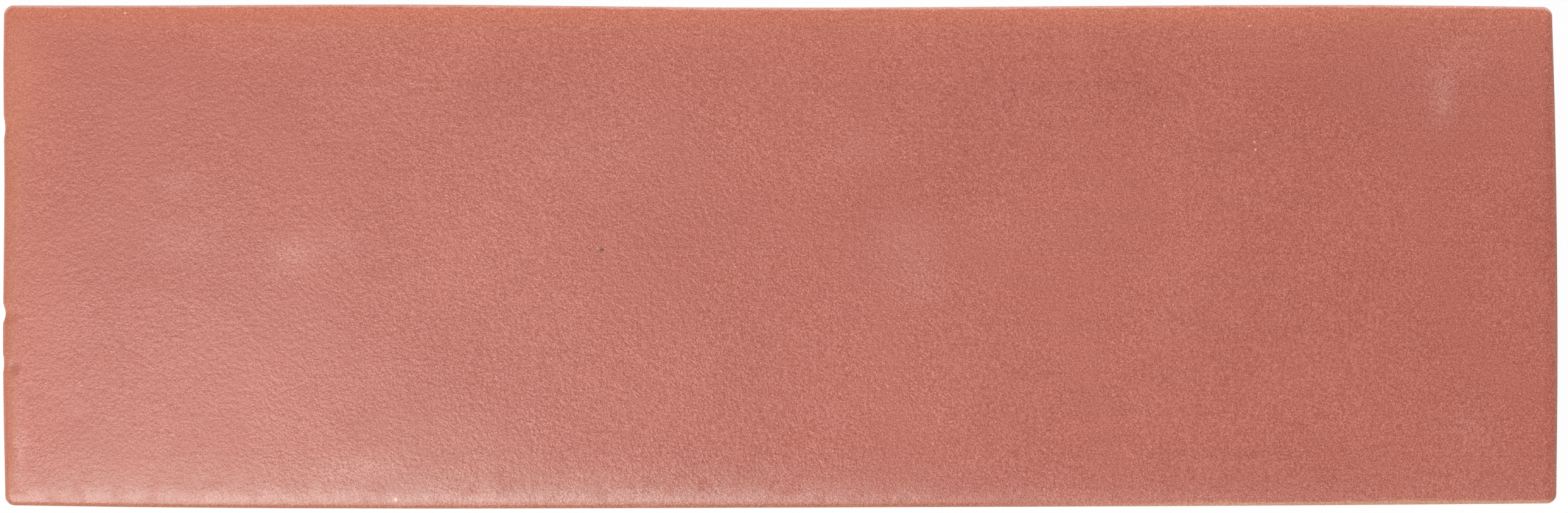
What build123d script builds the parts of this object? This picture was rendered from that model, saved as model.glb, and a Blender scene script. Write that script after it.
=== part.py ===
"""Glazed porcelain wall tile of the hand-finished kind: a pressed slab with a pillowed, gently wavy face.

Millimetres. +Z points out of the glazed face and +X runs along the tile's length.
The origin is at the middle of the back, on the plane that the tile beds on.
"""

import math
import os

from build123d import *

# Overall size of the box that the tile just fits
LENGTH = 200.0
WIDTH = 64.8
THICKNESS = 8.5

# Each side wanders inside that box: (share of the way along the side, inset from the box).
# Near and far run from left to right, left and right from near to far; their ends set the corners.
NEAR_SIDE = ((0.0, 0.43), (0.08, 0.20), (0.27, 0.0), (0.51, 0.13), (0.78, 0.34), (1.0, 0.67))
FAR_SIDE = ((0.0, 0.11), (0.12, 0.11), (0.26, 0.0), (0.45, 0.37), (0.66, 0.26), (0.88, 0.08), (1.0, 0.34))
LEFT_SIDE = ((0.0, 0.32), (0.21, 0.06), (0.33, 0.0), (0.45, 0.06), (0.65, 0.18), (0.85, 0.06), (1.0, 0.18))
RIGHT_SIDE = ((0.0, 0.17), (0.32, 0.0), (0.52, 0.07), (0.77, 0.31), (1.0, 0.74))
CORNER_RADIUS = 1.25

# Soft nicks in the left side: (place along the side from its middle, width, depth)
NICKS = ((-14.0, 2.5, 0.13), (-7.5, 2.3, 0.33), (16.5, 2.9, 0.18))
NICK_BLEND = 1.2

# Edge of the face: a roll of its own width down to each side, then a tight lip that ends steeply at the wall
NEAR_ROLL_WIDTH = 2.2
FAR_ROLL_WIDTH = 3.0
LEFT_ROLL_WIDTH = 1.9
RIGHT_ROLL_WIDTH = 1.7
ROLL_DROP = 0.4
LIP_RADIUS = 0.7
LIP_STEEPEST = 65.0

# Waves of the face: (length along X, length along Y, phase in degrees, height)
WAVES = ((92.0, 140.0, 40.0, 0.07), (57.0, -88.0, 200.0, 0.05), (38.0, 47.0, 310.0, 0.035))

# Back: a foot that is set back all round, and shallow pockets that key into the adhesive
FOOT_HEIGHT = 3.0
FOOT_SETBACK = 0.4
POCKETS_LONG = 14
POCKETS_WIDE = 4
RIB_WIDTH = 2.6
BACK_BORDER = 5.0
POCKET_DEPTH = 0.8
POCKET_CORNER = 1.2
POCKET_DRAFT = 25.0

# How closely the face is sampled, and how far it runs past the outline before it is cut off there
LIP_STEPS = 10
ROLL_STEPS = 5
LONG_STEPS = 32
WIDE_STEPS = 12
FACE_OVERLAP = 0.4
FACE_TOLERANCE = 0.004


def roll_drop(distance, roll_width):
    """Drop of a roll at a distance inside its side."""
    return ROLL_DROP * max(0.0, 1 - distance / roll_width) ** 2


def lip_drop(distance):
    """Drop of the lip at a distance inside the outline, straight on from its steepest place."""
    steepest = math.radians(LIP_STEEPEST)
    start = LIP_RADIUS * (1 - math.sin(steepest))
    if distance >= LIP_RADIUS - start:
        return 0.0
    inside = max(0.0, distance) + start
    drop = LIP_RADIUS - math.sqrt(LIP_RADIUS**2 - (LIP_RADIUS - inside) ** 2)
    return drop + max(0.0, -distance) * math.tan(steepest)


def outline_distance(from_end, from_side):
    """Distance inside the rounded outline, from the distances to the nearest end and side."""
    if max(from_end, from_side) < CORNER_RADIUS:
        return CORNER_RADIUS - math.hypot(CORNER_RADIUS - from_end, CORNER_RADIUS - from_side)
    return min(from_end, from_side)


def wave_height(x, y):
    """Height of the waves at a place on the face."""
    return sum(
        height * math.sin(2 * math.pi * (x / along + y / across) + math.radians(phase))
        for along, across, phase, height in WAVES
    )


def edge_stations(roll_width):
    """Distances inside a side at which its lip and its roll are sampled."""
    lip_span = FACE_OVERLAP + LIP_RADIUS
    lip = [lip_span * step / LIP_STEPS - FACE_OVERLAP for step in range(LIP_STEPS + 1)]
    roll_span = roll_width - LIP_RADIUS
    return lip + [LIP_RADIUS + roll_span * step / ROLL_STEPS for step in range(1, ROLL_STEPS + 1)]


def stations(span, first_roll, last_roll, middle_steps):
    """Distances from one side to the other, closer together in the lips and the rolls."""
    middle_span = span - first_roll - last_roll
    middle = [first_roll + middle_span * step / middle_steps for step in range(1, middle_steps)]
    last_edge = [span - place for place in reversed(edge_stations(last_roll))]
    return edge_stations(first_roll) + middle + last_edge


def face_point(from_left, from_near):
    """Point of the face, with both distances measured from the sides as they wander."""
    long_share = min(1.0, max(0.0, from_left / LENGTH))
    wide_share = min(1.0, max(0.0, from_near / WIDTH))
    low_x = (left @ wide_share).X
    high_x = (right @ wide_share).X
    low_y = (near @ long_share).Y
    high_y = (far @ long_share).Y
    x = low_x + (high_x - low_x) * from_left / LENGTH
    y = low_y + (high_y - low_y) * from_near / WIDTH
    drop = roll_drop(x - low_x, LEFT_ROLL_WIDTH) + roll_drop(high_x - x, RIGHT_ROLL_WIDTH)
    drop += roll_drop(y - low_y, NEAR_ROLL_WIDTH) + roll_drop(high_y - y, FAR_ROLL_WIDTH)
    drop += lip_drop(outline_distance(min(x - low_x, high_x - x), min(y - low_y, high_y - y)))
    highest_wave = sum(wave[3] for wave in WAVES)
    return (x, y, THICKNESS - highest_wave + wave_height(x, y) - drop)


with BuildPart() as tile:
    # Blank with the wandering outline, and the nicks in its left side
    with BuildSketch():
        with BuildLine():
            near = Spline(
                (-LENGTH / 2 + LEFT_SIDE[0][1], -WIDTH / 2 + NEAR_SIDE[0][1]),
                *[((share - 0.5) * LENGTH, -WIDTH / 2 + inset) for share, inset in NEAR_SIDE[1:-1]],
                (LENGTH / 2 - RIGHT_SIDE[0][1], -WIDTH / 2 + NEAR_SIDE[-1][1]),
            )
            far = Spline(
                (-LENGTH / 2 + LEFT_SIDE[-1][1], WIDTH / 2 - FAR_SIDE[0][1]),
                *[((share - 0.5) * LENGTH, WIDTH / 2 - inset) for share, inset in FAR_SIDE[1:-1]],
                (LENGTH / 2 - RIGHT_SIDE[-1][1], WIDTH / 2 - FAR_SIDE[-1][1]),
            )
            left = Spline(
                near @ 0,
                *[(-LENGTH / 2 + inset, (share - 0.5) * WIDTH) for share, inset in LEFT_SIDE[1:-1]],
                far @ 0,
            )
            right = Spline(
                near @ 1,
                *[(LENGTH / 2 - inset, (share - 0.5) * WIDTH) for share, inset in RIGHT_SIDE[1:-1]],
                far @ 1,
            )
        make_face()
        for place, width, depth in NICKS:
            radius = width**2 / (8 * depth) + depth / 2
            with Locations(((left @ (place / WIDTH + 0.5)).X + depth - radius, place)):
                Circle(radius, mode=Mode.SUBTRACT)
    extrude(amount=THICKNESS + ROLL_DROP)

    # Soft mouths for the nicks, then the corners
    mouths = tile.edges().filter_by(Axis.Z).filter_by(
        lambda edge: abs(edge.center().Y) < WIDTH / 2 - 2 * CORNER_RADIUS
    )
    fillet(mouths, NICK_BLEND)
    corners = tile.edges().filter_by(Axis.Z).filter_by(
        lambda edge: abs(edge.center().Y) > WIDTH / 2 - 2 * CORNER_RADIUS
    )
    fillet(corners, CORNER_RADIUS)

    # Set-back foot
    back = tile.faces().sort_by(Axis.Z)[0]
    chamfer(back.edges(), FOOT_SETBACK, FOOT_HEIGHT, reference=back)

    # Pillowed, wavy face with its rolls and lips
    long_stations = stations(LENGTH, LEFT_ROLL_WIDTH, RIGHT_ROLL_WIDTH, LONG_STEPS)
    wide_stations = stations(WIDTH, NEAR_ROLL_WIDTH, FAR_ROLL_WIDTH, WIDE_STEPS)
    face = Face.make_surface_from_array_of_points(
        [[face_point(from_left, from_near) for from_near in wide_stations] for from_left in long_stations],
        tol=FACE_TOLERANCE,
    )
    split(bisect_by=face, keep=Keep.BOTTOM)

    # Keyed back
    pocket_long = (LENGTH - 2 * BACK_BORDER - (POCKETS_LONG - 1) * RIB_WIDTH) / POCKETS_LONG
    pocket_wide = (WIDTH - 2 * BACK_BORDER - (POCKETS_WIDE - 1) * RIB_WIDTH) / POCKETS_WIDE
    with BuildSketch() as pockets:
        with GridLocations(pocket_long + RIB_WIDTH, pocket_wide + RIB_WIDTH, POCKETS_LONG, POCKETS_WIDE):
            Rectangle(pocket_long, pocket_wide)
        chamfer(pockets.vertices(), POCKET_CORNER)
    extrude(amount=POCKET_DEPTH, taper=POCKET_DRAFT, mode=Mode.SUBTRACT)

os.makedirs("parts", exist_ok=True)
tile.part.label = "porcelain_tile"
export_step(tile.part, "parts/porcelain_tile.step")
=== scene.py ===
"""Coral-glazed porcelain wall tile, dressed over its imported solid, and the plain stage that shows it.

The tile is one mesh that Geometry Nodes make: the pillowed, wavy face follows the solid's own sides,
the walls run down from it past the end of the glaze, and the foot and the keyed back close it.
The frame is in metres, so sizes are written in millimetres times MM. The finishes read their places in
millimetres, so lengths in them are plain millimetres. Their pairs are either two limits, between which
a share rises or falls, or the two values that a share blends.
"""

import math

import bpy
from bpy.props import FloatProperty, FloatVectorProperty, IntProperty, PointerProperty
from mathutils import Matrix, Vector


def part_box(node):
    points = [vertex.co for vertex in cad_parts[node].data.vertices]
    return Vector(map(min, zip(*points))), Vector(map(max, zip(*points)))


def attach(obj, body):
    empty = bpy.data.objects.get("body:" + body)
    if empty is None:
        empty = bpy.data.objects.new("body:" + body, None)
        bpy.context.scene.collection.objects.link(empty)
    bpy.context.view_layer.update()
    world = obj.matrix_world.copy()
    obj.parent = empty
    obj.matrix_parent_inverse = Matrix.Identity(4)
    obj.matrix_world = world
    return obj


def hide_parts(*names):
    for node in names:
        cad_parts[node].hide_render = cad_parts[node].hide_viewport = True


bl_info = {
    "name": "Coral Porcelain Tile",
    "version": (1, 0, 0),
    "blender": (4, 5, 0),
    "location": "View3D > Sidebar > Tile",
    "description": "Makes a hand-finished glazed wall tile and a plain stage for it",
    "category": "Add Mesh",
}

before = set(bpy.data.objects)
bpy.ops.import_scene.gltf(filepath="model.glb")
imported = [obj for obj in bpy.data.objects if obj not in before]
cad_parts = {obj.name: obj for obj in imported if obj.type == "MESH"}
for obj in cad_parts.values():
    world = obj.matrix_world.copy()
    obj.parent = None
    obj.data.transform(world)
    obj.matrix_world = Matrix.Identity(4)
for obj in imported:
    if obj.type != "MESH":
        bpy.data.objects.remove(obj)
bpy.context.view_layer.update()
SOLID = "porcelain_tile"
TILE_LOW, TILE_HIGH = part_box(SOLID)
TILE_SIZE = TILE_HIGH - TILE_LOW

MM = 0.001

# Waves of the face: (length along X, length along Y, phase in degrees, height), in millimetres
WAVES = ((92.0, 140.0, 40.0, 0.07), (57.0, -88.0, 200.0, 0.05), (38.0, 47.0, 310.0, 0.035))

# Small lumps of the face: (size in millimetres, share of the lump height). They are sunk by a share of it
LUMPS = ((7.0, 1.0), (2.2, 0.45))
LUMP_SINK = 0.5

# Small humps and dents on the rolled edges: (x, y, reach along X, reach along Y, height), in millimetres
EDGE_MARKS = (
    (-98.7, -14.2, 0.7, 0.8, -0.16),
    (-98.9, -7.5, 0.6, 1.1, -0.10),
    (-5.2, 32.0, 1.5, 0.35, 0.12),
    (62.5, 32.0, 1.3, 0.35, 0.12),
    (84.0, 31.9, 0.8, 0.45, 0.14),
)

# Rays that find the solid's sides stay this many corner radii away from its corners
CORNER_CLEARANCE = 1.6

# Walls: runs of glaze below the lip, then the uneven line at which the glaze thins to a bead and breaks off
RUN_HEIGHT = 0.3 * MM
RUN_SIZE = 3.0 * MM
RUN_DEPTH = 0.12 * MM
GLAZE_LINE = ((9.0, 1.0), (2.0, 0.4))
GLAZE_LINE_HEIGHT = 2.4 * MM
BEAD_HEIGHT = 0.4 * MM
BEAD_SHARE = 0.35
BREAK_HEIGHT = 0.05 * MM

# Points closer than this are one, and a height is met within this margin
MERGE_DISTANCE = 0.001 * MM
LEVEL_MARGIN = 0.01 * MM

# Heights between which the plain glaze of the walls gives way to that of the lip, in millimetres
WALL_TOP = (6.4, 7.3)

# Pale patches, partly paler haze in the glaze and partly painted glints: (x, y, reach along X, reach along Y,
# strength), in millimetres
HAZE_AND_GLINT_PATCHES = (
    (-62.6, 0.2, 3.0, 2.0, 0.11),
    (-77.0, 1.8, 5.0, 2.4, 0.05),
    (-56.4, 2.3, 2.6, 1.6, 0.05),
    (16.4, 2.0, 5.0, 3.8, 0.05),
    (85.2, 20.4, 1.6, 3.2, 0.10),
    (88.0, 26.0, 4.0, 3.0, 0.04),
    (-53.4, -27.2, 4.0, 2.0, 0.1),
    (-24.0, 14.0, 12.0, 6.0, 0.03),
    (-42.0, -25.0, 11.0, 5.0, 0.05),
    (80.0, 23.0, 8.0, 5.0, 0.025),
    (-77.7, 9.6, 2.5, 1.6, 0.05),
    (18.0, -3.0, 4.0, 3.0, 0.04),
    (11.0, 14.0, 5.0, 3.0, 0.03),
    (88.7, -22.5, 3.0, 4.0, 0.04),
    (-97.8, -23.5, 0.6, 6.0, 0.08),
    (-97.6, -23.9, 1.2, 1.0, 0.08),
    (-90.5, -19.7, 0.9, 0.9, 0.06),
)

# Dark specks that were fired into the glaze, and painted shade in one dent: (x, y, reach, strength), in
# millimetres
DARK_SPECKS_AND_DENT_SHADE = (
    (-23.0, 0.8, 0.25, 1.0),
    (28.75, 19.74, 0.22, 0.35),
    (29.3, 19.97, 0.22, 0.38),
    (29.77, 20.29, 0.22, 0.42),
    (30.16, 20.76, 0.22, 0.42),
    (30.08, 21.23, 0.22, 0.4),
    (29.84, 21.54, 0.2, 0.38),
    # Painted shade in the dent of the left roll
    (-98.4, -14.1, 0.7, 0.16),
)
# Pale specks: mostly painted glints, with a pale scratch in the last four
PAINTED_GLINTS_AND_PALE_MARKS = (
    (61.0, 14.73, 0.1, 0.9),
    (61.12, 13.74, 0.11, 1.0),
    (62.4, 16.0, 0.08, 0.8),
    (63.3, -3.6, 0.07, 0.6),
    (64.9, -4.3, 0.07, 0.6),
    (49.4, 16.8, 0.09, 0.8),
    (45.9, 24.6, 0.06, 0.5),
    (39.8, 21.9, 0.06, 0.5),
    (60.3, 29.6, 0.11, 0.8),
    (-49.5, -31.2, 0.23, 1.0),
    (-92.7, 30.8, 0.1, 0.5),
    (-92.0, 30.9, 0.09, 0.5),
    (-84.3, 31.25, 0.13, 0.9),
    (-90.5, -15.95, 0.08, 0.5),
    (-90.15, -16.2, 0.08, 0.6),
    (-89.9, -16.6, 0.07, 0.7),
    (-89.75, -16.95, 0.06, 0.6),
)

# Fine mottling, partly the glaze's own grain and partly painted shading and glints of its fine relief: (size
# in millimetres, strength)
MOTTLING = ((0.11, 0.52), (0.22, 0.56), (0.5, 0.12))

# Dimples of the glaze over shallower lumps: (size as a multiple of the peel size, strength)
DIMPLES = ((1.0, 1.0), (2.2, 1.2), (5.0, 0.9))

# Sockets of a Mix node that mixes colours, by their places among its inputs and outputs
MIX_AMOUNT = 0
MIX_BELOW = 6
MIX_ABOVE = 7
MIX_RESULT = 2

# Floor: its reach to each side, its drop below the tile, its grey, and how much of it is seen as plain white
FLOOR_REACH = 4.0
FLOOR_DROP = 0.1 * MM
FLOOR_GREY = 0.9
FLOOR_WHITE = 0.97

# The camera sees this far
SIGHT = 50.0


class Field:
    """A socket of a node tree, so that a formula is written as plain arithmetic."""

    def __init__(self, socket):
        self.socket = socket

    def math(self, operation, *others):
        """Adds one Math node on this value and the others."""
        node = self.socket.id_data.nodes.new("ShaderNodeMath")
        node.operation = operation
        for socket, value in zip(node.inputs, (self, *others)):
            feed(socket, value)
        return Field(node.outputs["Value"])

    def __add__(self, other):
        return self.math("ADD", other)

    __radd__ = __add__

    def __sub__(self, other):
        return self.math("SUBTRACT", other)

    def __rsub__(self, other):
        return (self * -1.0) + other

    def __mul__(self, other):
        return self.math("MULTIPLY", other)

    __rmul__ = __mul__

    def __truediv__(self, other):
        return self.math("DIVIDE", other)

    def __pow__(self, other):
        return self.math("POWER", other)

    def least(self, other):
        """The smaller of two values."""
        return self.math("MINIMUM", other)

    def most(self, other):
        """The larger of two values."""
        return self.math("MAXIMUM", other)

    def between(self, low, high):
        """The value, held between two limits."""
        return self.most(low).least(high)

    def rise(self, low, high):
        """A soft step from 0 at the low limit to 1 at the high one."""
        share = ((self - low) / (high - low)).between(0.0, 1.0)
        return share * share * (3.0 - 2.0 * share)

    def fall(self, low, high):
        """A soft step from 1 at the low limit to 0 at the high one."""
        return 1.0 - self.rise(low, high)

    def blend(self, first, second):
        """For a share: the first value where it is 0, and the second where it is 1."""
        return self * (second - first) + first


def feed(socket, value):
    """Links a socket to a field or another socket, or gives it a plain value."""
    if isinstance(value, Field):
        value = value.socket
    if isinstance(value, bpy.types.NodeSocket):
        socket.id_data.links.new(value, socket)
    else:
        socket.default_value = value


def add_node(tree, kind, inputs=None, **settings):
    """Adds a node, sets it up and feeds its inputs by name."""
    node = tree.nodes.new(kind)
    for name, value in settings.items():
        setattr(node, name, value)
    for name, value in (inputs or {}).items():
        feed(node.inputs[name], value)
    return node


def parts_of(tree, vector):
    """The three parts of a vector, as fields."""
    node = add_node(tree, "ShaderNodeSeparateXYZ", {"Vector": vector})
    return [Field(socket) for socket in node.outputs]


def vector_of(tree, x, y, z):
    """A vector from three fields or numbers."""
    return add_node(tree, "ShaderNodeCombineXYZ", {"X": x, "Y": y, "Z": z}).outputs["Vector"]


def stretched(tree, vector, factors):
    """A vector with each part multiplied by its own factor."""
    node = add_node(tree, "ShaderNodeVectorMath", {0: vector, 1: factors}, operation="MULTIPLY")
    return node.outputs["Vector"]


def noise(tree, vector, size, detail=2.0):
    """Smooth noise about zero whose lumps are about as large as the given size."""
    inputs = {"Vector": vector, "Scale": 1.0 / size, "Detail": detail}
    return Field(add_node(tree, "ShaderNodeTexNoise", inputs).outputs["Fac"]) - 0.5


def noises(tree, vector, layers, unit=1.0, detail=1.0):
    """Several noises together, from (size, strength) with the sizes in the given unit."""
    total = 0.0
    for size, strength in layers:
        total = noise(tree, vector, size * unit, detail) * strength + total
    return total


def spots(x, y, marks, unit=1.0):
    """Soft spots together, from (x, y, reach along X, reach along Y, height) in the given unit."""
    total = 0.0
    for centre_x, centre_y, reach_x, reach_y, height in marks:
        along = (x - centre_x * unit) / (reach_x * unit)
        across = (y - centre_y * unit) / (reach_y * unit)
        spot = ((along * along + across * across) * -1.0).math("EXPONENT")
        total = spot * (height * unit) + total
    return total


class TileShape(bpy.types.PropertyGroup):
    """Sizes of the tile that the solid's own sides don't give"""

    near_roll: FloatProperty(
        name="Near Roll", description="Width of the roll along the near side", default=2.2 * MM, unit="LENGTH"
    )
    far_roll: FloatProperty(
        name="Far Roll", description="Width of the roll along the far side", default=3.0 * MM, unit="LENGTH"
    )
    left_roll: FloatProperty(
        name="Left Roll", description="Width of the roll along the left side", default=1.9 * MM, unit="LENGTH"
    )
    right_roll: FloatProperty(
        name="Right Roll", description="Width of the roll along the right side", default=1.7 * MM,
        unit="LENGTH"
    )
    roll_drop: FloatProperty(
        name="Roll Drop", description="How far a roll falls to its side", default=0.4 * MM, unit="LENGTH"
    )
    lip_radius: FloatProperty(
        name="Lip Radius", description="Radius of the lip between face and wall", default=0.5 * MM,
        unit="LENGTH"
    )
    corner_radius: FloatProperty(
        name="Corner Radius", description="Radius of the four corners", default=1.25 * MM, unit="LENGTH"
    )
    lump_height: FloatProperty(
        name="Lump Height", description="Height of the small lumps of the face", default=0.05 * MM,
        unit="LENGTH"
    )
    glaze_end: FloatProperty(
        name="Glaze End", description="Height at which the glaze ends on the walls", default=4.6 * MM,
        unit="LENGTH"
    )
    glaze_step: FloatProperty(
        name="Glaze Step", description="Thickness of the glaze at its end", default=0.1 * MM, unit="LENGTH"
    )
    foot_height: FloatProperty(
        name="Foot Height", description="Height of the set-back foot", default=3.0 * MM, unit="LENGTH"
    )
    foot_setback: FloatProperty(
        name="Foot Setback", description="How far the foot is set back", default=0.4 * MM, unit="LENGTH"
    )
    back_border: FloatProperty(
        name="Back Border", description="Plain border round the pockets", default=5.0 * MM, unit="LENGTH"
    )
    rib_width: FloatProperty(
        name="Rib Width", description="Width of the ribs between pockets", default=2.6 * MM, unit="LENGTH"
    )
    pocket_depth: FloatProperty(
        name="Pocket Depth", description="Depth of the pockets in the back", default=0.8 * MM, unit="LENGTH"
    )
    pocket_corner: FloatProperty(
        name="Pocket Corner", description="Cut across each pocket's corner", default=1.2 * MM, unit="LENGTH"
    )
    pocket_draft: FloatProperty(
        name="Pocket Draft", description="Slope of the pocket walls", default=math.radians(25),
        subtype="ANGLE"
    )
    pockets_long: IntProperty(name="Pockets Long", description="Pockets along the length", default=14, min=1)
    pockets_wide: IntProperty(name="Pockets Wide", description="Pockets along the width", default=4, min=1)
    lines_long: IntProperty(name="Lines Long", description="Grid lines along the length", default=496, min=60)
    lines_wide: IntProperty(name="Lines Wide", description="Grid lines along the width", default=168, min=60)
    edge_lines: IntProperty(
        name="Edge Lines", description="Lines that crowd towards a side", default=14, min=4
    )
    edge_span: FloatProperty(
        name="Edge Span", description="Width over which they crowd", default=2.6 * MM, unit="LENGTH"
    )


class TileFinish(bpy.types.PropertyGroup):
    """Colours and surface of the glaze and of the fired body"""

    coral: FloatVectorProperty(
        name="Coral", description="Glaze where it lies thick", default=(0.435, 0.109, 0.073), subtype="COLOR"
    )
    rose: FloatVectorProperty(
        name="Rose", description="Paler drift in the glaze", default=(0.49, 0.138, 0.096), subtype="COLOR"
    )
    orange: FloatVectorProperty(
        name="Orange", description="Glaze where it thins over an edge", default=(0.64, 0.19, 0.111),
        subtype="COLOR"
    )
    # Tan and sand also make the darker line on the near and right lips, which is partly painted shade
    tan: FloatVectorProperty(
        name="Tan", description="Glaze where it breaks over a sharp edge", default=(0.42, 0.138, 0.072),
        subtype="COLOR"
    )
    sand: FloatVectorProperty(
        name="Sand", description="The same towards the right", default=(0.56, 0.26, 0.16), subtype="COLOR"
    )
    # Painted highlight on the far rim, and faintly on the left
    painted_rim_highlight: FloatVectorProperty(
        name="Painted Rim Highlight", description="Pale rim of the far side", default=(0.98, 0.54, 0.44), subtype="COLOR"
    )
    # Painted sheen along the near side
    veil: FloatVectorProperty(
        name="Veil", description="Wide veil along the near side", default=(0.95, 0.84, 0.76), subtype="COLOR"
    )
    # Painted sheen: glints in a band along the near side
    painted_sheen_band: FloatVectorProperty(
        name="Painted Sheen Band", description="Milky band along the near side", default=(0.92, 0.8, 0.7), subtype="COLOR"
    )
    # Paler haze in the glaze, also used for painted glints in the pale patches and specks
    pale_haze_and_glints: FloatVectorProperty(
        name="Milk", description="Pale clouds and specks", default=(0.96, 0.62, 0.53), subtype="COLOR"
    )
    # Dark specks in the glaze, also used for painted shade in one dent of the left roll
    iron_and_dent_shade: FloatVectorProperty(
        name="Iron", description="Dark specks in the glaze", default=(0.09, 0.022, 0.014), subtype="COLOR"
    )
    glaze_roughness: FloatProperty(
        name="Glaze Roughness", description="Roughness of the satin glaze", default=0.52, subtype="FACTOR"
    )
    glaze_index: FloatProperty(
        name="Glaze Index", description="Refractive index of the glaze", default=1.52, min=1.0
    )
    peel_size: FloatProperty(
        name="Peel Size", description="Size of the fine dimples in the glaze", default=0.25 * MM,
        unit="LENGTH"
    )
    peel_depth: FloatProperty(
        name="Peel Depth", description="Depth of the fine dimples", default=0.05 * MM, unit="LENGTH"
    )
    body: FloatVectorProperty(
        name="Body", description="Bare fired body of the foot and the back", default=(0.6, 0.47, 0.36),
        subtype="COLOR"
    )
    grit: FloatVectorProperty(
        name="Grit", description="Dark grit in the body", default=(0.3, 0.2, 0.14), subtype="COLOR"
    )
    body_roughness: FloatProperty(
        name="Body Roughness", description="Roughness of the bare body", default=0.85, subtype="FACTOR"
    )
    grit_depth: FloatProperty(
        name="Grit Depth", description="Depth of the body's grain", default=0.05 * MM, unit="LENGTH"
    )


class TileStage(bpy.types.PropertyGroup):
    """Camera, lamps and even light"""

    frame_width: FloatProperty(
        name="Frame Width", description="Width of the picture at the face", default=201.72 * MM, unit="LENGTH"
    )
    camera_offset: FloatProperty(
        name="Camera Offset", description="Camera's place along X", default=0.478 * MM, unit="LENGTH"
    )
    camera_height: FloatProperty(
        name="Camera Height", description="Camera's height above the face", default=3.0, unit="LENGTH"
    )
    world_light: FloatProperty(
        name="World Light", description="Strength of the even light", default=0.52, subtype="FACTOR"
    )
    soft_size: FloatProperty(
        name="Soft Size", description="Width of the key and fill lamps", default=0.3, unit="LENGTH"
    )
    key_place: FloatVectorProperty(
        name="Key Place", description="Place of the key lamp", default=(-0.35, -0.45, 0.5),
        subtype="TRANSLATION"
    )
    key_power: FloatProperty(
        name="Key Power", description="Power of the key lamp", default=3.6, unit="POWER"
    )
    fill_place: FloatVectorProperty(
        name="Fill Place", description="Place of the weaker lamp across from it", default=(0.35, 0.5, 0.35),
        subtype="TRANSLATION"
    )
    fill_power: FloatProperty(
        name="Fill Power", description="Power of the fill lamp", default=1.2, unit="POWER"
    )
    sheen_size: FloatProperty(
        name="Sheen Size", description="Width of the lamp that only the gloss shows", default=0.06,
        unit="LENGTH"
    )
    sheen_place: FloatVectorProperty(
        name="Sheen Place", description="Place of the sheen lamp", default=(-0.08, -0.06, 0.135),
        subtype="TRANSLATION"
    )
    sheen_target: FloatVectorProperty(
        name="Sheen Target", description="Where the sheen lamp points", default=(-0.05, -0.02, 0.0),
        subtype="TRANSLATION"
    )
    sheen_colour: FloatVectorProperty(
        name="Sheen Colour", description="Colour of the sheen lamp", default=(1.0, 0.96, 0.9), subtype="COLOR"
    )
    sheen_power: FloatProperty(
        name="Sheen Power", description="Power of the sheen lamp", default=0.23, unit="POWER"
    )


def tile_outline(tree, given, from_left, from_near):
    """Where the solid's four sides stand, level with a place on the face, by rays from the middle."""
    keep = given["Corner Radius"] * CORNER_CLEARANCE
    along = from_left.most(keep).least(given["Length"] - keep) - given["Length"] / 2
    across = from_near.most(keep).least(given["Width"] - keep) - given["Width"] / 2
    target = add_node(tree, "GeometryNodeObjectInfo", {"Object": given["Solid"]}).outputs["Geometry"]
    rays = (
        ((0.0, across), (-1.0, 0.0, 0.0), 0),
        ((0.0, across), (1.0, 0.0, 0.0), 0),
        ((along, 0.0), (0.0, -1.0, 0.0), 1),
        ((along, 0.0), (0.0, 1.0, 0.0), 1),
    )
    sides = []
    for (x, y), direction, axis in rays:
        inputs = {
            "Target Geometry": target,
            "Source Position": vector_of(tree, x, y, given["Glaze End"]),
            "Ray Direction": direction,
            "Ray Length": given["Length"],
        }
        hit = add_node(tree, "GeometryNodeRaycast", inputs)
        sides.append(parts_of(tree, hit.outputs["Hit Position"])[axis])
    return sides


def line_distance(share, lines, edge_lines, edge_span, span):
    """Distance of a grid line from its first side, with lines that crowd towards both sides."""
    line = share * (lines - 1.0)
    first = (line / edge_lines).between(0.0, 1.0)
    middle = ((line - edge_lines) / (lines - 1.0 - 2.0 * edge_lines)).between(0.0, 1.0)
    last = ((lines - 1.0 - line) / edge_lines).between(0.0, 1.0)
    edges = edge_span * (first * first + 1.0 - last * last)
    return edges + middle * (span - 2.0 * edge_span)


def roll_share(distance, roll_width):
    """Share of a roll's drop at a distance inside its side."""
    return (1.0 - distance / roll_width).most(0.0) ** 2.0


def wave_height(x, y):
    """Height of the waves at a place on the face, below the highest that they could reach together."""
    total = 0.0
    for along, across, phase, height in WAVES:
        turn = (x / (along * MM) + y / (across * MM)) * (2 * math.pi) + math.radians(phase)
        total = (turn.math("SINE") - 1.0) * (height * MM) + total
    return total


def stored(tree, mesh, name, value, domain, selection=True):
    """A mesh that keeps a value by name."""
    inputs = {"Geometry": mesh, "Selection": selection, "Name": name, "Value": value}
    node = add_node(tree, "GeometryNodeStoreNamedAttribute", inputs, data_type="FLOAT", domain=domain)
    return node.outputs["Geometry"]


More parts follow.
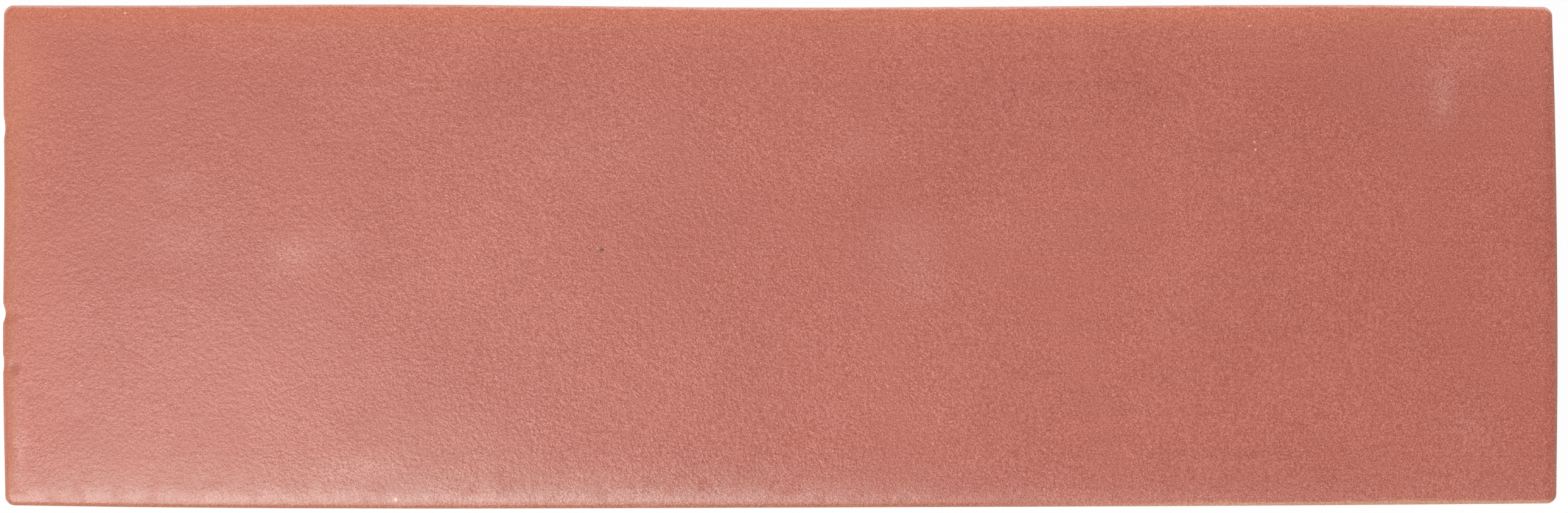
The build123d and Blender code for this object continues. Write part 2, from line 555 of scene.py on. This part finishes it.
def glazed_face(tree, given):
    """The pillowed, wavy face with its rolls, lips and round corners, and how far it has rolled over."""
    inputs = {
        "Size X": 1.0,
        "Size Y": 1.0,
        "Vertices X": given["Lines Long"],
        "Vertices Y": given["Lines Wide"],
    }
    grid = add_node(tree, "GeometryNodeMeshGrid", inputs).outputs["Mesh"]
    place = add_node(tree, "GeometryNodeInputPosition").outputs["Position"]
    grid_x, grid_y, _ = parts_of(tree, place)
    edge = (given["Edge Lines"], given["Edge Span"])
    from_left = line_distance(grid_x + 0.5, given["Lines Long"], *edge, given["Length"])
    from_near = line_distance(grid_y + 0.5, given["Lines Wide"], *edge, given["Width"])
    left, right, near, far = tile_outline(tree, given, from_left, from_near)
    x = left + (right - left) * from_left / given["Length"]
    y = near + (far - near) * from_near / given["Width"]

    # Rolls and corners, both by the distances from the sides
    roll = roll_share(x - left, given["Left Roll"]) + roll_share(right - x, given["Right Roll"])
    roll = roll + roll_share(y - near, given["Near Roll"]) + roll_share(far - y, given["Far Roll"])
    radius = given["Corner Radius"]
    end_share = (1.0 - (x - left).least(right - x) / radius).most(0.0)
    side_share = (1.0 - (y - near).least(far - y) / radius).most(0.0)
    end_round = end_share * (1.0 - side_share * side_share / 2.0).math("SQRT")
    side_round = side_share * (1.0 - end_share * end_share / 2.0).math("SQRT")
    round_x = x - x.math("SIGN") * radius * (end_share - end_round)
    round_y = y - y.math("SIGN") * radius * (side_share - side_round)
    inside = radius * (1.0 - (end_round * end_round + side_round * side_round).math("SQRT"))

    # Quarter-round lip
    lip = given["Lip Radius"]
    lip_share = (1.0 - inside / lip).between(0.0, 1.0)
    lip_drop = lip * (1.0 - (1.0 - lip_share * lip_share).math("SQRT"))

    # Height, with the marks on the rolled edges and the small lumps
    lumps = noises(tree, vector_of(tree, round_x, round_y, 0.0), LUMPS, MM)
    height = given["Thickness"] + wave_height(round_x, round_y) - given["Roll Drop"] * roll - lip_drop
    height = height + spots(round_x, round_y, EDGE_MARKS, MM) + (lumps - LUMP_SINK) * given["Lump Height"]

    # The lip's share is kept first, because it reads the grid before it is moved
    grid = stored(tree, grid, "lip", lip_share, "POINT")
    inputs = {"Geometry": grid, "Position": vector_of(tree, round_x, round_y, height)}
    return add_node(tree, "GeometryNodeSetPosition", inputs).outputs["Geometry"]


def ring_down(tree, given, mesh, edge, height, inset):
    """Runs an open edge down to a height, set in a little: the mesh, its new edge and its new faces."""
    inputs = {"Mesh": mesh, "Selection": edge, "Offset Scale": 0.0}
    ring = add_node(tree, "GeometryNodeExtrudeMesh", inputs, mode="EDGES")
    x, y, z = parts_of(tree, add_node(tree, "GeometryNodeInputPosition").outputs["Position"])
    inner_x = x - x * 2.0 / given["Length"] * inset
    inner_y = y - y * 2.0 / given["Width"] * inset
    inputs = {
        "Geometry": ring.outputs["Mesh"],
        "Selection": ring.outputs["Top"],
        "Position": vector_of(tree, inner_x, inner_y, z.least(height)),
    }
    mesh = add_node(tree, "GeometryNodeSetPosition", inputs).outputs["Geometry"]
    return mesh, ring.outputs["Top"], ring.outputs["Side"]


def walls(tree, given, mesh):
    """Walls from the lip to the bed: glazed to an uneven line, then the bare body and the set-back foot."""
    neighbours = Field(add_node(tree, "GeometryNodeInputMeshEdgeNeighbors").outputs["Face Count"])
    faces_at_open_edge = 1.0
    count_margin = 0.1
    edge = neighbours.math("COMPARE", faces_at_open_edge, count_margin)
    place = add_node(tree, "GeometryNodeInputPosition").outputs["Position"]
    x, y, z = parts_of(tree, place)
    unevenness = noises(tree, vector_of(tree, x, y, 0.0), GLAZE_LINE, MM, detail=2.0)
    glaze_end = given["Glaze End"] + unevenness * GLAZE_LINE_HEIGHT
    runs = noise(tree, place, RUN_SIZE).most(0.0) * RUN_DEPTH
    rings = (
        (z - RUN_HEIGHT, runs, 0.0),
        (glaze_end + BEAD_HEIGHT, 0.0, 0.0),
        (glaze_end, given["Glaze Step"] * BEAD_SHARE, 0.0),
        (glaze_end - BREAK_HEIGHT, given["Glaze Step"] * (1.0 - BEAD_SHARE), 1.0),
        (given["Foot Height"], 0.0, 1.0),
        (0.0, given["Foot Setback"] - given["Glaze Step"], 1.0),
    )
    for height, inset, bare in rings:
        mesh, edge, faces = ring_down(tree, given, mesh, edge, height, inset)
        mesh = stored(tree, mesh, "bare", bare, "FACE", faces)
    return mesh, edge


def joined(tree, *meshes):
    """Several meshes as one."""
    node = add_node(tree, "GeometryNodeJoinGeometry")
    for mesh in meshes:
        feed(node.inputs["Geometry"], mesh)
    return node.outputs["Geometry"]


def at_each(tree, points, piece):
    """A copy of a piece at each point."""
    copies = add_node(tree, "GeometryNodeInstanceOnPoints", {"Points": points, "Instance": piece})
    inputs = {"Geometry": copies.outputs["Instances"]}
    return add_node(tree, "GeometryNodeRealizeInstances", inputs).outputs["Geometry"]


def keyed_back(tree, given, mesh, edge):
    """The bedding face inside the foot's edge, and the grid of shallow pockets in it."""
    ribs_long = (given["Pockets Long"] - 1.0) * given["Rib Width"]
    ribs_wide = (given["Pockets Wide"] - 1.0) * given["Rib Width"]
    pocket_long = (given["Length"] - 2.0 * given["Back Border"] - ribs_long) / given["Pockets Long"]
    pocket_wide = (given["Width"] - 2.0 * given["Back Border"] - ribs_wide) / given["Pockets Wide"]
    inputs = {
        "Size X": (pocket_long + given["Rib Width"]) * (given["Pockets Long"] - 1.0),
        "Size Y": (pocket_wide + given["Rib Width"]) * (given["Pockets Wide"] - 1.0),
        "Vertices X": given["Pockets Long"],
        "Vertices Y": given["Pockets Wide"],
    }
    places = add_node(tree, "GeometryNodeMeshGrid", inputs).outputs["Mesh"]

    # Outline of a pocket, with one straight cut across each corner
    inputs = {"Width": pocket_long, "Height": pocket_wide}
    square = add_node(tree, "GeometryNodeCurvePrimitiveQuadrilateral", inputs).outputs["Curve"]
    inputs = {"Curve": square, "Count": 1, "Radius": given["Pocket Corner"]}
    outline = add_node(tree, "GeometryNodeFilletCurve", inputs, mode="POLY").outputs["Curve"]

    # Bedding face: the foot's edge, less the pockets' outlines
    foot = add_node(tree, "GeometryNodeMeshToCurve", {"Mesh": mesh, "Selection": edge}).outputs["Curve"]
    inputs = {"Curve": joined(tree, foot, at_each(tree, places, outline))}
    bed = add_node(tree, "GeometryNodeFillCurve", inputs, mode="TRIANGLES").outputs["Mesh"]

    # One pocket, raised into the body and drawn in by its draft, as a share of its mean size
    floor = add_node(tree, "GeometryNodeFillCurve", {"Curve": outline}, mode="NGONS").outputs["Mesh"]
    inputs = {"Mesh": floor, "Offset": vector_of(tree, 0.0, 0.0, given["Pocket Depth"]), "Offset Scale": 1.0}
    pocket = add_node(tree, "GeometryNodeExtrudeMesh", inputs, mode="FACES")
    draw_in = given["Pocket Depth"] * given["Pocket Draft"].math("TANGENT")
    mean_size = (pocket_long + pocket_wide) / 2.0
    inputs = {
        "Geometry": pocket.outputs["Mesh"],
        "Selection": pocket.outputs["Top"],
        "Scale": 1.0 - 2.0 * draw_in / mean_size,
    }
    pocket = add_node(tree, "GeometryNodeScaleElements", inputs, domain="FACE").outputs["Geometry"]
    inputs = {"Mesh": joined(tree, bed, at_each(tree, places, pocket))}
    back = add_node(tree, "GeometryNodeFlipFaces", inputs).outputs["Mesh"]
    return stored(tree, back, "bare", 1.0, "FACE")


def whole_tile(tree, given):
    """Face, walls and back as one closed mesh, smooth but for the back, with its two finishes."""
    mesh, foot_edge = walls(tree, given, glazed_face(tree, given))
    tile = joined(tree, mesh, keyed_back(tree, given, mesh, foot_edge))
    tile = add_node(tree, "GeometryNodeRealizeInstances", {"Geometry": tile}).outputs["Geometry"]
    inputs = {"Geometry": tile, "Distance": MERGE_DISTANCE}
    tile = add_node(tree, "GeometryNodeMergeByDistance", inputs).outputs["Geometry"]
    height = parts_of(tree, add_node(tree, "GeometryNodeInputPosition").outputs["Position"])[2]
    low = height.math("LESS_THAN", given["Pocket Depth"] + LEVEL_MARGIN)
    for domain in ("FACE", "EDGE"):
        inputs = {"Geometry": tile, "Selection": low, "Shade Smooth": False}
        tile = add_node(tree, "GeometryNodeSetShadeSmooth", inputs, domain=domain).outputs["Geometry"]
    bare = add_node(tree, "GeometryNodeInputNamedAttribute", {"Name": "bare"}, data_type="FLOAT")
    inputs = {"Geometry": tile, "Material": given["Glaze"]}
    tile = add_node(tree, "GeometryNodeSetMaterial", inputs).outputs["Geometry"]
    inputs = {"Geometry": tile, "Selection": bare.outputs["Attribute"], "Material": given["Body"]}
    return add_node(tree, "GeometryNodeSetMaterial", inputs).outputs["Geometry"]


def made_by_nodes(name, build, sizes):
    """A plain mesh object from a Geometry Nodes tree, which gets each size as a named input."""
    tree = bpy.data.node_groups.new(name, "GeometryNodeTree")
    tree.interface.new_socket("Geometry", in_out="OUTPUT", socket_type="NodeSocketGeometry")
    identifiers = {}
    for label, (kind, _) in sizes.items():
        identifiers[label] = tree.interface.new_socket(label, in_out="INPUT", socket_type=kind).identifier
    entry = tree.nodes.new("NodeGroupInput")
    given = {label: Field(entry.outputs[label]) for label in sizes}
    feed(tree.nodes.new("NodeGroupOutput").inputs["Geometry"], build(tree, given))

    carrier = bpy.data.objects.new(name + "_carrier", bpy.data.meshes.new(name + "_carrier"))
    bpy.context.scene.collection.objects.link(carrier)
    modifier = carrier.modifiers.new(name, "NODES")
    modifier.node_group = tree
    for label, (_, value) in sizes.items():
        modifier[identifiers[label]] = value
    depsgraph = bpy.context.evaluated_depsgraph_get()
    mesh = bpy.data.meshes.new_from_object(
        carrier.evaluated_get(depsgraph), preserve_all_data_layers=True, depsgraph=depsgraph
    )
    mesh.name = name
    mesh.materials.pop(index=0)
    carrier.modifiers.remove(modifier)
    bpy.data.objects.remove(carrier)
    bpy.data.node_groups.remove(tree)
    piece = bpy.data.objects.new(name, mesh)
    bpy.context.scene.collection.objects.link(piece)
    return piece


def new_material(name):
    """An empty node material, with its tree and its output node."""
    material = bpy.data.materials.new(name)
    material.use_nodes = True
    material.node_tree.nodes.clear()
    return material, material.node_tree, add_node(material.node_tree, "ShaderNodeOutputMaterial")


def colour(values):
    """A colour property as the four numbers that a colour socket takes."""
    return (*values, 1.0)


def layered(tree, below, above, amount, blend="MIX"):
    """One colour laid over another."""
    node = add_node(tree, "ShaderNodeMix", data_type="RGBA", blend_type=blend)
    feed(node.inputs[MIX_AMOUNT], amount)
    feed(node.inputs[MIX_BELOW], below)
    feed(node.inputs[MIX_ABOVE], above)
    return node.outputs[MIX_RESULT]


def millimetres(tree):
    """The place on a piece, in millimetres."""
    place = add_node(tree, "ShaderNodeTexCoord").outputs["Object"]
    return stretched(tree, place, (1.0 / MM, 1.0 / MM, 1.0 / MM))


class GlazePlace:
    """A place on the glaze as its layers read it: how far in from each side, and how far over the lip."""

    wander_size = 2.5
    edge_start = 0.04
    edge_wander = 0.6
    edge_limits = (0.0, 0.25)

    def __init__(self, tree):
        self.tree = tree
        self.place = millimetres(tree)
        self.x, self.y, self.z = parts_of(tree, self.place)
        half_length = TILE_SIZE.x / MM / 2
        half_width = TILE_SIZE.y / MM / 2
        self.from_left = self.x + half_length
        self.from_right = half_length - self.x
        self.from_near = self.y + half_width
        self.from_far = half_width - self.y
        self.above_wall = self.z.rise(*WALL_TOP)
        self.lip = Field(add_node(tree, "ShaderNodeAttribute", attribute_name="lip").outputs["Fac"])
        self.wander = self.noise(self.wander_size, detail=3.0)
        broken = self.lip + self.wander * self.edge_wander + self.edge_start
        self.edge = broken.rise(*self.edge_limits) * self.above_wall

    def noise(self, size, detail=2.0):
        """Smooth noise about zero, with lumps of a size in millimetres."""
        return noise(self.tree, self.place, size, detail)

    def grey(self, value):
        """The same value in all three channels."""
        return vector_of(self.tree, value, value, value)


def ground(at, finish):
    """Ground tone: coral that drifts towards rose over a centimetre or two."""
    drift_size = 16.0
    drift_strength = 1.6
    drift = at.noise(drift_size, detail=3.0) * drift_strength + 0.5
    return layered(at.tree, colour(finish.coral), colour(finish.rose), drift.between(0.0, 1.0))


def thin_left(at):
    """Share of thin glaze along the left side, which reaches further in towards the far side."""
    near_to_far = (-6.0, 20.0)
    full_within = (1.3, 0.7)
    gone_past = (2.0, 5.0)
    farther = at.y.rise(*near_to_far)
    return (at.from_left + at.wander).fall(farther.blend(*full_within), farther.blend(*gone_past))


def thin_sides(at, left_share, finish, tone):
    """The worn band on the left, and the orange that fades inwards from the far and left sides."""
    worn_tan = 0.75
    worn_strength = 0.85
    worn = layered(at.tree, colour(finish.orange), colour(finish.tan), worn_tan)
    tone = layered(at.tree, tone, worn, left_share * worn_strength)

    # Far band, wider and less even towards both ends, and weaker on the right
    left_end = (-90.0, -40.0)
    right_end = (20.0, 80.0)
    band_start = 0.5
    band_width = (5.5, 6.5)
    band_wander = (0.5, 1.0)
    weaker_along = (40.0, 90.0)
    band_strength = (1.0, 0.75)
    ends = at.x.fall(*left_end).most(at.x.rise(*right_end))
    inwards = at.from_far + at.wander * ends.blend(*band_wander) - band_start
    band = (1.0 - (inwards / ends.blend(*band_width)).between(0.0, 1.0)) ** 2.0
    band = band * at.x.rise(*weaker_along).blend(*band_strength)

    # Wide, faint fades
    far_reach = (2.0, 11.0)
    far_strength = 0.2
    left_reach = (2.0, 12.0)
    stronger_up = (8.0, 24.0)
    left_strength = (0.12, 0.36)
    far_fade = at.from_far.fall(*far_reach) * far_strength
    left_fade = at.from_left.fall(*left_reach) * at.y.rise(*stronger_up).blend(*left_strength)
    return layered(at.tree, tone, colour(finish.orange), band.most(far_fade).most(left_fade))


def rims(at, finish, tone):
    """Rims: a darker line near and faintly right, part broken glaze, part painted lip shade; a painted
    highlight far and faintly left.
    """
    near_reach = (0.9, 1.6)
    right_reach = (0.6, 1.2)
    far_reach = (0.7, 1.4)
    left_reach = (0.6, 1.1)
    near_side = at.from_near.fall(*near_reach)
    right_side = at.from_right.fall(*right_reach)
    far_side = at.from_far.fall(*far_reach)
    left_side = at.from_left.fall(*left_reach)

    # Worn line, sandier towards the right: partly glaze broken over the edge, partly painted shade of the lip
    # that faces away from the light
    sandier_along = (15.0, 65.0)
    right_strength = 0.3
    worn = layered(at.tree, colour(finish.tan), colour(finish.sand), at.x.rise(*sandier_along))
    tone = layered(at.tree, tone, worn, near_side.most(right_side * right_strength) * at.edge)

    # Pale rim, further over the lip: a painted highlight where the lip would catch the light
    rim_limits = (0.1, 0.7)
    rim_wander = 0.7
    far_strength = 0.72
    left_strength = 0.1
    rim = (at.lip + at.wander * rim_wander).rise(*rim_limits) * at.above_wall
    return layered(
        at.tree, tone, colour(finish.painted_rim_highlight), far_side.most(left_side * left_strength) * rim * far_strength
    )


def painted_near_sheen(at, finish, tone):
    """Painted sheen: a wide pale veil along the near side and a speckled band of painted glints in it, both
    strongest at the left.
    """
    # Wide veil: painted sheen
    veil_reach = (0.5, 8.5)
    veil_along = (-30.0, 40.0)
    veil_strength = (0.1, 0.025)
    face = 1.0 - at.edge
    veil = at.from_near.fall(*veil_reach) * at.x.rise(*veil_along).blend(*veil_strength) * face
    tone = layered(at.tree, tone, colour(finish.veil), veil)

    # Band of painted glints, speckled like the sheen on the fine relief
    band_start = (0.6, 1.0)
    band_end = (0.8, 3.6)
    band_along = (-30.0, 75.0)
    band_strength = 0.11
    patch_size = 4.0
    patch_strength = 0.5
    speckle_size = 0.25
    speckle_strength = 2.6
    inwards = at.from_near + at.wander
    band = inwards.rise(*band_start) * inwards.fall(*band_end) * at.x.fall(*band_along) * face
    patches = at.noise(patch_size) * patch_strength + 1.0
    speckle = at.noise(speckle_size, detail=1.0) * speckle_strength + 1.0
    amount = (band * patches * speckle * band_strength).between(0.0, 1.0)
    return layered(at.tree, tone, colour(finish.painted_sheen_band), amount)


def haze_glints_and_specks(at, finish, tone):
    """Pale haze with painted glints in it, fired dark specks with painted shade in one dent, and pale specks,
    mostly painted glints.
    """
    grain_size = 0.4
    grain_strength = 5.0
    haze_and_glints = spots(at.x, at.y, HAZE_AND_GLINT_PATCHES) * (at.noise(grain_size) * grain_strength + 1.0)
    tone = layered(at.tree, tone, colour(finish.pale_haze_and_glints), haze_and_glints.between(0.0, 1.0))
    for specks, speck_colour in ((DARK_SPECKS_AND_DENT_SHADE, finish.iron_and_dent_shade), (PAINTED_GLINTS_AND_PALE_MARKS, finish.pale_haze_and_glints)):
        amount = spots(at.x, at.y, [(x, y, reach, reach, strength) for x, y, reach, strength in specks])
        tone = layered(at.tree, tone, colour(speck_colour), amount.between(0.0, 1.0))
    return tone


def mottled(at, tone):
    """Fine mottling, partly own grain and partly painted relief shading, its neutral lightening painted
    glints, and the faint lines that the glaze was laid on in.
    """
    grain_skew = 1.2
    grain_along = (-95.0, -20.0)
    grain_strength = (0.7, 1.0)
    # Share of the mottling laid on as neutral lightening: painted glints
    painted_glint_share = 0.26
    line_stretch = (0.04, 8.0, 0.0)
    line_along = (-20.0, 40.0)
    line_strength = (4.0, 8.0)
    grain = noises(at.tree, at.place, MOTTLING)
    grain = (grain + grain * grain * grain_skew) * at.x.rise(*grain_along).blend(*grain_strength)
    lines = noise(at.tree, stretched(at.tree, at.place, line_stretch), 1.0, detail=1.0)
    lines = lines * lines * lines * at.x.rise(*line_along).blend(*line_strength)
    tone = layered(at.tree, tone, at.grey(1.0 + grain + lines), 1.0, "MULTIPLY")
    return layered(at.tree, tone, at.grey(grain * painted_glint_share), 1.0, "ADD")


def dimpled(at, left_share, finish):
    """Normals of the fine dimples, which are flatter where the glaze is thin on the left."""
    flatter_left = 0.6
    deeper_along = (-70.0, 10.0)
    strength = (1.1, 1.4)
    height = noises(at.tree, at.place, DIMPLES, finish.peel_size / MM)
    height = height * (1.0 - left_share * flatter_left) * at.x.rise(*deeper_along).blend(*strength)
    inputs = {"Strength": 1.0, "Distance": finish.peel_depth, "Height": height}
    return add_node(at.tree, "ShaderNodeBump", inputs).outputs["Normal"]


def glaze_material(finish):
    """Satin coral glaze, laid up from its layers."""
    material, tree, output = new_material("coral_glaze")
    at = GlazePlace(tree)
    left_share = thin_left(at)
    tone = ground(at, finish)
    tone = thin_sides(at, left_share, finish, tone)
    tone = rims(at, finish, tone)
    tone = painted_near_sheen(at, finish, tone)
    tone = haze_glints_and_specks(at, finish, tone)
    patch_size = 5.0
    patch_strength = 0.12
    inputs = {
        "Base Color": mottled(at, tone),
        "Roughness": at.noise(patch_size, detail=3.0) * patch_strength + finish.glaze_roughness,
        "Normal": dimpled(at, left_share, finish),
        "IOR": finish.glaze_index,
    }
    feed(output.inputs["Surface"], add_node(tree, "ShaderNodeBsdfPrincipled", inputs).outputs["BSDF"])
    return material


def body_material(finish):
    """Bare fired body: warm tan in soft patches, speckled and dry."""
    material, tree, output = new_material("fired_body")
    place = millimetres(tree)
    patch_size = 14.0
    patch_strength = 1.2
    patch_tint = (0.9, 0.82, 0.76)
    patches = noise(tree, place, patch_size, detail=4.0) * patch_strength + 0.5
    warm = [value * tint for value, tint in zip(finish.body, patch_tint)]
    tone = layered(tree, colour(finish.body), colour(warm), patches.between(0.0, 1.0))
    speck_size = 0.45
    speck_limits = (0.17, 0.24)
    speck_strength = 0.6
    specks = noise(tree, place, speck_size, detail=1.0).rise(*speck_limits)
    tone = layered(tree, tone, colour(finish.grit), specks * speck_strength)
    fine_grain = 0.35
    coarse_grain = 1.6
    grain = noise(tree, place, fine_grain, detail=3.0) + noise(tree, place, coarse_grain)
    bump = add_node(tree, "ShaderNodeBump", {"Strength": 1.0, "Distance": finish.grit_depth, "Height": grain})
    inputs = {"Base Color": tone, "Roughness": finish.body_roughness, "Normal": bump.outputs["Normal"]}
    feed(output.inputs["Surface"], add_node(tree, "ShaderNodeBsdfPrincipled", inputs).outputs["BSDF"])
    return material


def seen_directly(tree):
    """1 for the rays that show the background: the camera's, and those by gloss or through glass."""
    path = add_node(tree, "ShaderNodeLightPath")
    seen = Field(path.outputs["Is Camera Ray"])
    return seen.most(path.outputs["Is Glossy Ray"]).most(path.outputs["Is Transmission Ray"])


def floor_material():
    """White floor that keeps a faint shadow."""
    material, tree, output = new_material("white_floor")
    grey = (FLOOR_GREY, FLOOR_GREY, FLOOR_GREY, 1.0)
    matt = add_node(tree, "ShaderNodeBsdfDiffuse", {"Color": grey}).outputs["BSDF"]
    white = add_node(tree, "ShaderNodeEmission", {"Strength": 1.0}).outputs["Emission"]
    mixed = add_node(tree, "ShaderNodeMixShader", {0: seen_directly(tree) * FLOOR_WHITE, 1: matt, 2: white})
    feed(output.inputs["Surface"], mixed.outputs["Shader"])
    return material


def add_floor():
    """The white floor under the tile."""
    corners = [(-1, -1), (1, -1), (1, 1), (-1, 1)]
    mesh = bpy.data.meshes.new("floor")
    points = [(x * FLOOR_REACH, y * FLOOR_REACH, -FLOOR_DROP) for x, y in corners]
    mesh.from_pydata(points, [], [(0, 1, 2, 3)])
    mesh.materials.append(floor_material())
    floor = bpy.data.objects.new("floor", mesh)
    bpy.context.scene.collection.objects.link(floor)
    return floor


def white_world(strength):
    """A world that lights evenly at a strength, and that the camera sees as plain white."""
    world = bpy.data.worlds.new("studio")
    world.use_nodes = True
    background = world.node_tree.nodes["Background"]
    background.inputs["Color"].default_value = (1.0, 1.0, 1.0, 1.0)
    seen = Field(add_node(world.node_tree, "ShaderNodeLightPath").outputs["Is Camera Ray"])
    feed(background.inputs["Strength"], seen.blend(strength, 1.0))
    return world


def add_lamp(name, place, target, size, power):
    """A square soft lamp that points at a target."""
    lamp = bpy.data.lights.new(name, "AREA")
    lamp.size = size
    lamp.energy = power
    holder = bpy.data.objects.new(name, lamp)
    bpy.context.scene.collection.objects.link(holder)
    holder.location = place
    holder.rotation_euler = (Vector(target) - Vector(place)).to_track_quat("-Z", "Y").to_euler()
    holder.visible_camera = False
    return holder


def add_camera(place, height, width):
    """A camera that looks straight down from a place, and frames a width at a height below it."""
    camera = bpy.data.cameras.new("camera")
    camera.sensor_fit = "HORIZONTAL"
    camera.lens = camera.sensor_width * height / width
    camera.clip_end = SIGHT
    holder = bpy.data.objects.new("camera", camera)
    bpy.context.scene.collection.objects.link(holder)
    holder.location = place
    return holder


class MESH_OT_add_glazed_tile(bpy.types.Operator):
    """Make the glazed tile with its wavy face, its walls and its keyed back"""

    bl_idname = "mesh.add_glazed_tile"
    bl_label = "Glazed Tile"

    def execute(self, context):
        shape = context.scene.tile_shape
        finish = context.scene.tile_finish
        sizes = {
            "Solid": ("NodeSocketObject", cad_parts[SOLID]),
            "Glaze": ("NodeSocketMaterial", glaze_material(finish)),
            "Body": ("NodeSocketMaterial", body_material(finish)),
            "Length": ("NodeSocketFloat", TILE_SIZE.x),
            "Width": ("NodeSocketFloat", TILE_SIZE.y),
            "Thickness": ("NodeSocketFloat", TILE_SIZE.z),
        }
        for name, definition in shape.bl_rna.properties.items():
            if definition.type in {"FLOAT", "INT"}:
                kind = "NodeSocketFloat" if definition.type == "FLOAT" else "NodeSocketInt"
                sizes[definition.name] = (kind, getattr(shape, name))
        tile = made_by_nodes("glazed_tile", whole_tile, sizes)
        if not tile.data.polygons:
            raise RuntimeError("the tile's node tree made no mesh")
        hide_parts(SOLID)
        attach(tile, "root")
        return {"FINISHED"}


class SCENE_OT_add_tile_stage(bpy.types.Operator):
    """Make the white floor, the soft light and the camera that looks straight down"""

    bl_idname = "scene.add_tile_stage"
    bl_label = "Tile Stage"

    def execute(self, context):
        scene = context.scene
        shape = scene.tile_shape
        stage = scene.tile_stage
        floor = add_floor()
        scene.world = white_world(stage.world_light)
        middle = (0.0, 0.0, 0.0)
        add_lamp("key", stage.key_place, middle, stage.soft_size, stage.key_power)
        add_lamp("fill", stage.fill_place, middle, stage.soft_size, stage.fill_power)

        # Only the gloss shows this lamp
        sheen = add_lamp("sheen", stage.sheen_place, stage.sheen_target, stage.sheen_size, stage.sheen_power)
        sheen.data.color = stage.sheen_colour
        sheen.visible_diffuse = False

        # The picture's width is that of the outline, which lies at the foot of the lip
        outline_height = TILE_SIZE.z - shape.roll_drop - shape.lip_radius
        place = (stage.camera_offset, 0.0, outline_height + stage.camera_height)
        scene.camera = add_camera(place, stage.camera_height, stage.frame_width)
        scene.view_settings.view_transform = "Standard"
        return {"FINISHED"}


class VIEW3D_PT_porcelain_tile(bpy.types.Panel):
    """Sizes, finish and stage of the tile"""

    bl_label = "Porcelain Tile"
    bl_space_type = "VIEW_3D"
    bl_region_type = "UI"
    bl_category = "Tile"

    def draw(self, context):
        scene = context.scene
        for operator, settings in (
            (MESH_OT_add_glazed_tile, (scene.tile_shape, scene.tile_finish)),
            (SCENE_OT_add_tile_stage, (scene.tile_stage,)),
        ):
            self.layout.operator(operator.bl_idname)
            column = self.layout.column()
            for group in settings:
                for name, definition in group.bl_rna.properties.items():
                    if definition.type in {"FLOAT", "INT"}:
                        column.prop(group, name)


CLASSES = (
    TileShape,
    TileFinish,
    TileStage,
    MESH_OT_add_glazed_tile,
    SCENE_OT_add_tile_stage,
    VIEW3D_PT_porcelain_tile,
)


def register():
    for cls in CLASSES:
        bpy.utils.register_class(cls)
    bpy.types.Scene.tile_shape = PointerProperty(type=TileShape)
    bpy.types.Scene.tile_finish = PointerProperty(type=TileFinish)
    bpy.types.Scene.tile_stage = PointerProperty(type=TileStage)


def unregister():
    del bpy.types.Scene.tile_stage
    del bpy.types.Scene.tile_finish
    del bpy.types.Scene.tile_shape
    for cls in reversed(CLASSES):
        bpy.utils.unregister_class(cls)


def main():
    """Makes the tile and its stage."""
    register()
    bpy.ops.mesh.add_glazed_tile()
    bpy.ops.scene.add_tile_stage()


if __name__ == "__main__":
    main()
